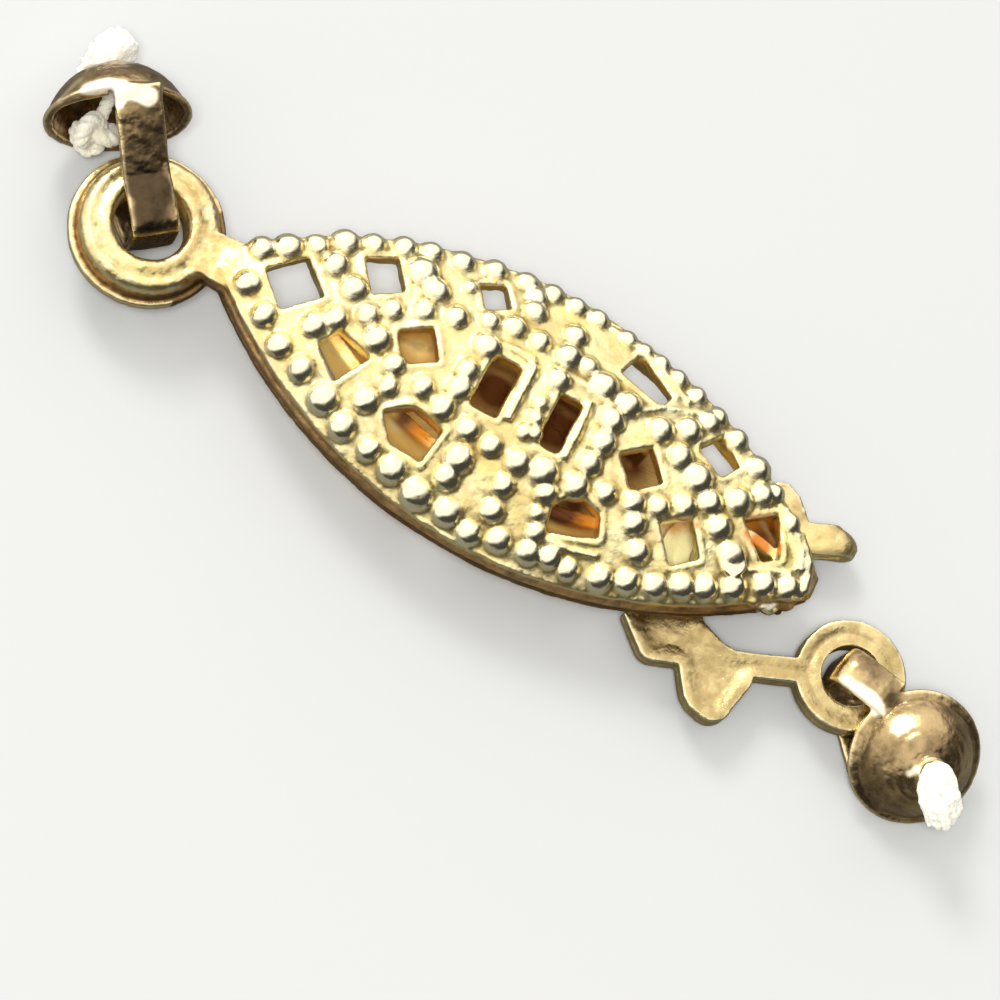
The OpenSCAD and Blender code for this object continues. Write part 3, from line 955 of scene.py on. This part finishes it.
# %% Turned shapes
def skinned(name, loops):
    """A closed skin through loops of as many points each, the last joined to the first."""
    n, faces = len(loops[0]), []
    for r in range(len(loops)):
        here, there = r * n, (r + 1) % len(loops) * n
        faces += [(here + k, there + k, there + (k + 1) % n, here + (k + 1) % n) for k in range(n)]
    return from_lists(name, [point for loop in loops for point in loop], faces)


def turned(name, profile, centre=(0, 0), steps=96):
    """Swings a closed outline of (radius, height) round an upright axis."""
    turns = [(math.cos(2 * math.pi * k / steps), math.sin(2 * math.pi * k / steps)) for k in range(steps)]
    return skinned(name, [[(centre[0] + r * c, centre[1] + r * s, z) for r, z in profile] for c, s in turns])


EYE = (-10.41, -0.1)
EYE_PROFILE = [
    (0.925, 1.25), (2.0, 1.25), (2.0, 1.5), (1.96, 1.56), (1.88, 1.53), (1.82, 1.5), (1.8, 1.76),
    (1.76, 1.97), (1.66, 2.09), (1.56, 2.13), (1.45, 2.09), (1.36, 2.08), (1.26, 2.14), (1.14, 2.17),
    (1.03, 2.15), (0.95, 2.06), (0.925, 1.9),
]
eye = turned("eye", EYE_PROFILE, EYE)
pin = turned("pin", [(0.001, 0.4), (0.35, 0.4), (0.35, 2.7), (0.001, 2.7)], (6.3, -0.7), 48)

# %% Rim flange, neck and rib
BAND_STEPS = 140


def band(name, inner, outer, low, high):
    """A wall that follows the plate's outline between two distances outside it."""
    def loop(offset):
        xs = [-(TIP + offset) * math.cos(math.pi * k / BAND_STEPS) for k in range(BAND_STEPS + 1)]
        right = [(x, half_width(x, -offset)) for x in xs]
        return right + [(x, -y) for x, y in reversed(right)]

    walls = ((outer, low), (outer, high), (inner, high), (inner, low))
    return skinned(name, [[(x, y, z) for x, y in loop(offset)] for offset, z in walls])


shelf = band("shelf", -0.3, 0.0, 1.95, 2.17)
ledge = band("ledge", -0.25, 0.08, 1.72, 1.97)
flange = band("flange", -0.25, 0.08, 1.4, 1.58)
NECK = [(-8.2, -0.66), (-7.3, -0.75), (-7.3, 0.75), (-8.2, 0.62), (-9.2, 0.5), (-9.2, -0.62)]
neck = prisms("neck", [NECK], 1.5, 2.12)
rib = prisms("rib", [[(5.28, 0.4), (7.98, -0.06), (8.02, 0.2), (5.32, 0.66)]], 1.35, 2.24)
print("eye, pin, rim and neck made")

# %% Where the picture shows a tint
SPOT = 0.12


def seen_near(obj, *spots):
    """How near each vertex lies to places on the side that shows: (px, py, reach in mm, amount)."""
    co = points_of(obj)
    across, up, depth = (co @ np.array(axis) for axis in (RIGHT, UP, BACK))
    total = np.zeros(len(co))
    for px, py, reach, amount in spots:
        at = from_origin(px, py)
        off = np.hypot(across - at[0], up - at[1])
        if off.min() < SPOT:
            centre = co[np.argmax(np.where(off < SPOT, depth, -1e9))]
            total += amount * np.exp(-((np.linalg.norm(co - centre, axis=1) / reach) ** 2))
    return total


def note_seen(obj, name, *spots, share=1):
    note(obj, name, share * unit(seen_near(obj, *spots)))


# %% Melt the housing into one casting
HOUSING_TRIANGLES = 190000
parts = [plate, beads, drops, frames, bars, bars_wide, eye, pin, shelf, ledge, flange, neck, rib]
housing = melted(joined("housing_cast", parts), voxel=0.046, rounds=4)
uneven(housing, bright_gilt, (0.07, 1.5), (0.035, 4.0))
thinned(housing, HOUSING_TRIANGLES)
NECK_END, NECK_TOP, EYE_REACH = -9.0, 2.1, 2.06
GROOVE_R, GROOVE_Z = (1.74, 1.9), (1.4, 1.84)
KNOB_REACH, WALL_T, UNDERSIDE = 0.3, 0.14, -0.12


def zone(x, y, z):
    """Height over the ground: above nought on beads and the knob, below it on the outer walls, nought
    inside. In the eye's groove it is a made-up depth that paints shade.
    """
    if x < NECK_END:
        from_eye = math.hypot(x - EYE[0], y - EYE[1])
        if from_eye > EYE_REACH:
            return z - NECK_TOP
        # In the eye's groove, painted shade: darker on the side away from the light.
        shaded = 0.5 + 0.5 * (0.96 * (x - EYE[0]) - 0.29 * (y - EYE[1])) / from_eye
        in_groove = GROOVE_R[0] < from_eye < GROOVE_R[1] and GROOVE_Z[0] < z < GROOVE_Z[1]
        return -0.1 - 0.4 * shaded if in_groove else 0.0
    # The knob counts as a bead top, which paints it pale as a highlight.
    if (Vector((x, y, z)) - KNOB).length < KNOB_REACH:
        return 0.3
    x = within(x, TIP)
    edge = half_width(x)
    over = z - dome_z(x, within(y, edge))
    outside = abs(y) > edge - WALL_T or abs(x) > TIP - WALL_T
    return over if outside or over > UNDERSIDE else 0.0


# %% Note its zones and hand it over
# Spots painted as a highlight on the knob at the right tip.
KNOB_FACE = [(764, 610, 0.08, 1.6), (769, 611, 0.09, 1.6), (774, 610, 0.07, 1.6)]
# Spots on the rib and the openings' sills painted with a warm red reflection.
BAR = [(750, 530), (757, 534), (764, 539), (770, 544), (775, 549), (756, 541), (762, 546), (768, 551)]
SILLS = [(757, 519), (765, 517), (773, 516), (684, 524), (694, 524)]
co = points_of(housing)
note(housing, "relief_and_shade", [zone(*at) for at in co])
x, y = co[:, 0] - EYE[0], co[:, 1] - EYE[1]
from_eye = np.hypot(x, y)
# Stains on the eye's side away from the light: real stains and painted shade.
away = unit(0.2 + 0.9 * (0.9 * x + 0.44 * y) / from_eye)
note(housing, "stains_and_shade", away * unit((2.3 - from_eye) / 0.3))
note_seen(housing, "knob_highlight", *KNOB_FACE)
note_seen(housing, "warm_reflection", *[(*at, 0.12, 1.3) for at in BAR], *[(*at, 0.1, 0.9) for at in SILLS])
note_form(housing)
finish_piece(housing, "beaded_housing", bright_gilt, "clasp_body", "housing")

# %% [markdown]
# ## Tray and hook
# Both are stamped from sheet, and the measured shapes are right. They only lack what stamping does
# to an edge: melting each copy at a fine grain rolls its edges over, as a worn stamping's are.

# %% Rolled edges and the seam of a folded sheet
def roll_edges(obj, near, far, depth, seam):
    """Sinks the faces within the outline, so that its edge stands as a rim, and scores the seam."""
    co, normal = points_of(obj), points_of(obj, "normal")
    side = np.flatnonzero(np.abs(normal[:, 2]) < 0.4)
    tree = KDTree(len(side))
    for index in side:
        tree.insert((co[index][0], co[index][1], 0), int(index))
    tree.balance()
    away = np.array([tree.find((x, y, 0))[2] for x, y, _ in co])
    share = unit((away - near) / (far - near))
    share = share * share * (3 - 2 * share)
    co[:, 2] -= depth * share * np.sign(normal[:, 2]) * (np.abs(normal[:, 2]) > 0.6)
    score = unit(1 - np.abs(co[:, 2] - seam) / 0.06) * (np.abs(normal[:, 2]) < 0.5)
    co[:, :2] -= 0.05 * score[:, None] * normal[:, :2]
    set_points(obj, co)


def bow_tip(obj, root, turn, length, rise, corner, slot):
    """Bows the folded tip across, rounds its end off and opens the fold on the near side."""
    co, way = points_of(obj), polar(1, turn)
    along, side = along_and_aside(co, root, way)
    share = unit(along / length) * (np.abs(side) < 0.6)
    co[:, 2] += rise * unit(share * 3) * (unit(1 - (side / 0.4) ** 2) - 0.6)
    last = unit((share - 0.55) / 0.45)
    far_corner = unit((side + 0.15) / 0.5) ** 2
    near_corner = unit((-side - 0.2) / 0.2)
    co[:, :2] -= np.outer(last * (corner * far_corner + 0.25 * corner * near_corner), way)
    co[:, 2] -= 0.1 * last**2
    at_fold = unit(1.6 - np.abs(co[:, 2] - 0.7) / 0.12)
    opened = slot * at_fold * unit(share * 4) * (1 - last) * unit(-side / 0.3)
    co[:, :2] += np.outer(opened, (-way[1], way[0]))
    set_points(obj, co)


# %% Tray and hook
# Places where the picture shows the metal pale, red or dark brown through the openings: pale is
# painted light, red is painted reflection of gold in gold, and dark brown is painted shade.
PAINTED_LIGHT_SPOTS = {
    "pale": [(352, 352, 0.3, 0.6), (418, 345, 0.4, 0.65), (683, 546, 0.8, 1.5), (392, 428, 0.22, 0.8)],
    "red_reflection": [
        (765, 534, 0.75, 1.4), (582, 528, 0.55, 1.3), (560, 526, 0.3, 0.8), (424, 432, 0.5, 1.1),
        (676, 525, 0.22, 0.75), (690, 523, 0.2, 0.6),
    ],
    "shade_brown": [
        (497, 388, 0.8, 1.2), (560, 422, 0.9, 1.4), (640, 466, 0.75, 1.6), (408, 416, 0.35, 1.1),
        (562, 506, 0.55, 1.2), (577, 505, 0.45, 1.1), (563, 520, 0.3, 0.4), (768, 530, 0.4, 0.9),
    ],
}


def note_flame(obj):
    not_under = unit((points_of(obj, "normal")[:, 2] + 0.5) / 0.3)
    for kind, spots in PAINTED_LIGHT_SPOTS.items():
        note_seen(obj, kind, *spots, share=not_under)


tray = melted(from_node("back_tray"), voxel=0.07, rounds=2)
note_flame(tray)
note_form(tray)
finish_piece(tray, "boat_tray", tray_gilt, "clasp_body", "back_tray")

hook = melted(from_node("hook"), voxel=0.034, rounds=5)
roll_edges(hook, near=0.1, far=0.55, depth=0.09, seam=0.84)
bow_tip(hook, root=(7.7, 1.34), turn=25, length=1.5, rise=0.09, corner=0.36, slot=0.28)
modified(hook, "SMOOTH", iterations=2, factor=0.5)
uneven(hook, worn_gilt, (0.07, 0.9))
under_plate = [
    min(max((half_width(within(x, TIP)) - 0.25 - abs(y)) / 0.3, 0), 1) * (x < 8.1)
    for x, y, _ in points_of(hook)
]
# A painted highlight on the tab.
tab_highlight = seen_near(hook, (812, 540, 0.5, 0.3), (830, 545, 0.5, 0.4))
note(hook, "covered_and_tab_highlight", unit(np.array(under_plate) + tab_highlight))
note_flame(hook)
note_form(hook)
finish_piece(hook, "hook_tongue", worn_gilt, "hook_body", "hook")

# %% [markdown]
# ## Thread cups
# A thread cup is a small dome pressed from sheet, with a strap at its rim and a rolled lip. The
# measured cup is copied, a lip is laid round its mouth, and the two are melted together. Each
# vertex also learns how far it is from the cup's axis, which lets the tarnish follow the rings.

# %% Thread cups: where they are
CUPS = {
    "left": ((-12.37, 1.93, 1.88), 120, -8, 3.75),
    "right": ((12.8, -2.27, 0.95), -55, 60, 3.55),
}
APEX = 0.38


def cup_matrix(cup):
    """From the cup's own frame, with its rim flat and its apex up, to the plate's."""
    centre, azimuth, elevation, _ = cup
    facing = Matrix.Rotation(math.radians(azimuth), 4, "Z")
    tipped = Matrix.Rotation(math.radians(90 - elevation), 4, "Y")
    return Matrix.Translation(centre) @ (facing @ tipped)


def ring(name, radius, level, thick, steps=96):
    angles = np.linspace(0, 2 * math.pi, 13)[:-1]
    section = [(radius + thick * math.cos(a), level + thick * math.sin(a)) for a in angles]
    return turned(name, section, steps=steps)


def turned_in(edge, turns):
    """The part of the lip that is pressed flat over the mouth."""
    outer = [polar(edge - 0.04, turn) for turn in turns]
    inner = [polar(edge - 0.26 - 0.26 * min(max((turn - 110) / 35, 0), 1), turn) for turn in turns]
    return prisms("turned_in", [outer + inner[::-1]], 0.0, 0.12)


def bow_strap(obj, cup, start_turn, eye, over, width, rise):
    """Bows a strap's cross-section away from the eye that it passes over."""
    x, y = polar(cup[3] / 2 - 0.11, start_turn)
    start = cup_matrix(cup) @ Vector((-x, y, 0.1))
    run = Vector((eye[0] - start.x, eye[1] - start.y))
    way, co = run.normalized(), points_of(obj)
    along, side = along_and_aside(co, start, way)
    beyond = np.clip(along - run.length, 0, None)
    above = np.clip(co[:, 2] - (over - 1.0), 0, None)
    far = np.maximum(np.hypot(beyond, above), 1e-6)
    share = rise * unit(1 - (side / (width / 2)) ** 2) * unit(along / 0.4) * unit(far / 0.3)
    co[:, :2] += np.outer(share * beyond / far, way)
    co[:, 2] += share * above / far
    set_points(obj, co)


# %% Thread cups: making them
def make_cup(side, body, plating_light_and_shade, brim, drawn_in, turns, strap, seen):
    """One cup. Listed spots set its plating's tone and paint light and shade: above one a painted highlight,
    below nought painted shade.
    """
    cup, name = CUPS[side], side + "_cup_cast"
    edge, apex = cup[3] / 2, cup[3] * APEX
    parts = [ring("lip", edge - brim, 0.07, brim), ring("collar", 0.38, apex - 0.03, 0.08, 48)]
    parts += [turned_in(edge, turns)] if turns else []
    for part in parts:
        part.data.transform(cup_matrix(cup))
    obj = melted(joined(name, [from_node("knot_cup_" + side), *parts]), voxel=0.034, rounds=8)
    bow_strap(obj, cup, **strap)
    turn = np.array(cup_matrix(cup))
    own = np.linalg.inv(turn)
    local = points_of(obj) @ own[:3, :3].T + own[:3, 3]
    around = np.hypot(local[:, 0], local[:, 1])
    above = unit((local[:, 2] - 0.12) / 0.08) * unit((edge + 0.1 - around) / 0.1)
    pull = 1 - drawn_in * above * np.minimum(around / edge, 1) / np.maximum(around, 0.1)
    local[:, :2] *= pull[:, None]
    set_points(obj, local @ turn[:3, :3].T + turn[:3, 3])
    modified(obj, "SMOOTH", iterations=3, factor=0.5)
    note(obj, "around", np.minimum(around, edge))
    # Spots above one paint a highlight and spots below nought paint shade.
    note(obj, "plating_light_and_shade", np.clip(plating_light_and_shade + seen_near(obj, *seen), -1, 2))
    uneven(obj, tarnished_gilt, (0.07, 0.8), (0.03, 3.5))
    note_form(obj, 8)
    finish_piece(obj, "thread_cup_" + side, tarnished_gilt, body, "knot_cup_" + side)


make_cup(
    "left", "clasp_body", plating_light_and_shade=0.12, brim=0.06, drawn_in=0.05, turns=range(72, 168, 6),
    strap=dict(start_turn=-6, eye=EYE, over=2.48, width=1.2, rise=0.03),
    seen=[
        (60, 109, 0.25, 0.8), (90, 90, 0.25, 1.0), (112, 84, 0.22, 1.6), (128, 84, 0.2, 1.4),
        (70, 92, 0.35, 0.9), (85, 79, 0.3, 0.8), (100, 100, 0.3, 2.6), (108, 96, 0.2, 1.5),
        (122, 101, 0.25, 2.8), (126, 114, 0.2, 2.0), (142, 102, 0.22, 2.0), (158, 104, 0.28, 2.8),
        (148, 78, 0.2, 0.7), (148, 165, 0.45, -0.5), (158, 198, 0.5, -1.3), (150, 186, 0.4, -1.3),
        (165, 188, 0.4, -1.3), (160, 222, 0.4, -1.5), (131, 205, 0.12, 1.4),
    ],
)
make_cup(
    "right", "hook_body", plating_light_and_shade=0.55, brim=0.12, drawn_in=0.16, turns=(),
    strap=dict(start_turn=-20, eye=(10.46, -1.26), over=1.5, width=1.05, rise=0.16),
    seen=[
        (842, 680, 0.22, 1.2), (854, 690, 0.22, 2.0), (866, 702, 0.22, 2.2), (877, 713, 0.2, 2.2),
        (898, 720, 0.25, 1.5), (912, 716, 0.35, 0.5), (912, 768, 0.16, 1.2), (908, 778, 0.14, 1.0),
        (868, 655, 0.3, -0.7), (880, 668, 0.25, -0.5), (870, 800, 0.5, -0.7), (940, 750, 0.35, -0.7),
    ],
)

# %% [markdown]
# ## Knotted threads
# The bead thread is three strands twisted together. A tree takes a path, offsets it three times to
# turning sides, and gives each copy thickness. The knot's path is the simplest true knot, a
# trefoil, drawn small. The cut end is a bundle of fibres, grown from points by a second tree and
# matted together.

# %% Thread: the tree that plies three strands along a path
ply_tree, given, out = geometry_tree("plied thread", Strand=0.1, Offset=0.1, Twists=6.0, Step=0.05)
even = even_path(ply_tree, given)
side = add(ply_tree, "GeometryNodeInputNormal")[0]
other = vector_node("CROSS_PRODUCT", add(ply_tree, "GeometryNodeInputTangent")[0], side)
turns = times(add(ply_tree, "GeometryNodeSplineParameter")["Factor"], given["Twists"])
bundle = ply_tree.nodes.new("GeometryNodeJoinGeometry")
for strand in range(3):
    angle = math_node("MULTIPLY_ADD", turns, 2 * math.pi, 2 * math.pi * strand / 3)
    sideways = zip((side, other), on_circle(angle, given["Offset"]))
    shifts = [vector_node("SCALE", way, by) for way, by in sideways]
    strand = tube(moved(even, Offset=vector_node("ADD", *shifts)), given["Strand"], 9)
    ply_tree.links.new(strand, bundle.inputs[0])
end_tree(bundle.outputs[0], given, out)

# %% Thread: the tree that grows a frayed end
fray_tree, given, out = geometry_tree(
    "frayed end",
    Fibres=240, Length=0.8, Neck=0.22, Flare=2.0, Opening=0.7, Closing=0.0, Thickness=0.022, Seed=5,
)
roots = add(fray_tree, "GeometryNodePoints", Count=given["Fibres"])[0]
reach = times(math_node("SQRT", chance(plus(given["Seed"], 1.0), 0.0, 1.0)), given["Neck"])
spot_x, spot_y = on_circle(chance(given["Seed"], 0.0, 2 * math.pi), reach)
roots = moved(roots, Position=combined(fray_tree, X=spot_x, Y=spot_y))
hair = add(fray_tree, "GeometryNodeCurvePrimitiveLine", Start=(0, 0, 0), End=(0, 0, 1))[0]
hair = add(fray_tree, "GeometryNodeResampleCurve", Curve=hair, Count=9)[0]
tall = times(chance(plus(given["Seed"], 2.0), 0.6, 1.0), given["Length"])
hairs = instanced(roots, hair, Scale=combined(fray_tree, X=1.0, Y=1.0, Z=tall))
hairs = add(fray_tree, "GeometryNodeRealizeInstances", Geometry=hairs)[0]
at = position(fray_tree)
split = add(fray_tree, "ShaderNodeSeparateXYZ", Vector=at)
rise = math_node("DIVIDE", split["Z"], given["Length"])
open_up = times(math_node("POWER", rise, given["Opening"]), given["Flare"])
open_up = minus(open_up, times(math_node("POWER", rise, 3.0), given["Closing"]))
fan = combined(fray_tree, X=times(split["X"], open_up), Y=times(split["Y"], open_up))
stir = add(fray_tree, "ShaderNodeTexNoise", Vector=at, Scale=6.0, Detail=2.0)["Color"]
stir = vector_node("SCALE", vector_node("SUBTRACT", stir, (0.5, 0.5, 0.5)), times(rise, 0.3))
end_tree(tube(moved(hairs, Offset=vector_node("ADD", fan, stir)), given["Thickness"], 5), given, out)


# %% [markdown]
# One function makes both threads: the knot sits in the mouth of its cup, the strand leaves through
# the apex, and the frayed end reaches to where the picture shows it.

# %% Thread: knots, strands and frayed ends
KNOT_STEPS, CURVE_PARTS = 60, 12
Y_SOFT = 4.0


def plied(name, points, **sizes):
    source = from_lists(name + "_path", points, edges=[(k, k + 1) for k in range(len(points) - 1)])
    return grown(name, source, ply_tree, thread_mat, Step=0.05, **sizes)


def trefoil(k, size):
    t = 2 * math.pi * (k / KNOT_STEPS) * 0.985 + 0.6
    x, y = math.sin(t) + 2 * math.sin(2 * t), math.cos(t) - 2 * math.cos(2 * t)
    return Vector((x, y, -1.3 * math.sin(3 * t))) * size


def curved(points):
    """A smooth path through a few points."""
    pts = [points[0]] + list(points) + [points[-1]]
    made = []
    for k in range(1, len(pts) - 2):
        a, b, c, d = pts[k - 1 : k + 3]
        square, cube = 2 * a - 5 * b + 4 * c - d, 3 * b - a - 3 * c + d
        for t in (i / CURVE_PARTS for i in range(CURVE_PARTS)):
            made.append(0.5 * ((2 * b) + (c - a) * t + square * t * t + cube * t**3))
    return made + [points[-1]]


def make_thread(side, body, knot, size, tuft_to, reach, wider, **fray_sizes):
    own, apex = cup_matrix(CUPS[side]), CUPS[side][3] * APEX
    knot = Vector(knot)
    loop = [own @ (knot + trefoil(k, size)) for k in range(KNOT_STEPS + 1)]
    lead = [own @ knot, *(own @ Vector((0, 0, z)) for z in (apex - 0.44, apex, apex + 0.3))]
    out = lead[-1]
    knot_part = plied("knot", loop, Strand=0.7 * size, Offset=0.67 * size, Twists=9.0)
    melted(knot_part, voxel=0.032, rounds=1)
    strand = plied("strand", curved(lead), Strand=0.1, Offset=0.085, Twists=4.0)
    heading = Vector(tuft_to) - out
    root = from_lists("fray_root", [(0, 0, 0)])
    fray_sizes.update(Length=heading.length * reach, Thickness=0.042)
    fray = grown("fray", root, fray_tree, thread_mat, **fray_sizes)
    melted(fray, voxel=0.04, rounds=2)
    uneven(fray, thread_mat, (0.2, 2.2))
    ahead = heading.normalized()
    across = (RIGHT - ahead * RIGHT.dot(ahead)).normalized()
    turn = Matrix((across * wider, ahead.cross(across), ahead)).transposed().to_4x4()
    fray.data.transform(Matrix.Translation(out - ahead * 0.25) @ turn)
    co = points_of(fray)
    co[:, 1] = np.where(co[:, 1] > Y_SOFT, Y_SOFT + 0.3 * (co[:, 1] - Y_SOFT), co[:, 1])
    set_points(fray, co)
    obj = joined(side + "_thread", [knot_part, strand, fray])
    note_form(obj, 1)
    from_knot = np.linalg.norm(points_of(obj) - np.array(own @ knot), axis=1)
    note(obj, "handled", unit(2.0 - 1.6 * from_knot))
    finish_piece(obj, "knotted_thread_" + side, thread_mat, body, "thread_" + side)


make_thread(
    "left", "clasp_body", knot=(0.75, 0.5, -0.05), size=0.17,
    tuft_to=(-13.72, 3.52, 1.33), reach=0.77, wider=1.4,
    Neck=0.3, Flare=1.9, Opening=0.6, Closing=0.0, Fibres=560, Seed=5,
)
make_thread(
    "right", "hook_body", knot=(0.1, 0.1, 0.42), size=0.15,
    tuft_to=(14.17, -3.73, 1.61), reach=1.12, wider=1.0,
    Neck=0.26, Flare=1.6, Opening=0.5, Closing=1.3, Fibres=420, Seed=9,
)
